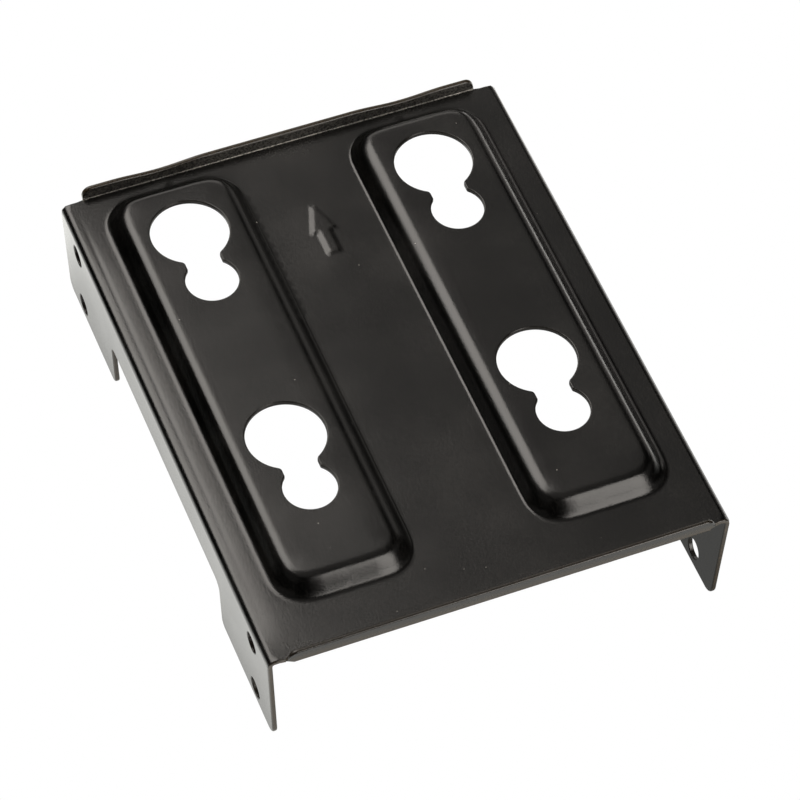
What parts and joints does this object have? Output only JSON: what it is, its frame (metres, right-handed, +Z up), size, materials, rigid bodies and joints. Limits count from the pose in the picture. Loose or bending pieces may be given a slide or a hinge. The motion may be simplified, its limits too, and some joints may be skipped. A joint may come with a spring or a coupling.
{
  "type": "ssd mounting bracket",
  "caption": "Folded sheet-metal bracket that holds stacked 2.5-inch drives between drilled side ears and hangs on studs by keyholes in raised pads.",
  "frame": {"origin": "middle of the bracket's footprint, level with the feet of the ears", "axes": "+Z up to the pads, +Y to the rear, where the wide ends of the keyholes are, +X right"},
  "size_m": [0.0724, 0.0924, 0.0223],
  "materials": {
    "black_paint": "satin"
  },
  "bodies": {
    "root": {"mounting_bracket": "black_paint"}
  },
  "joints": []
}
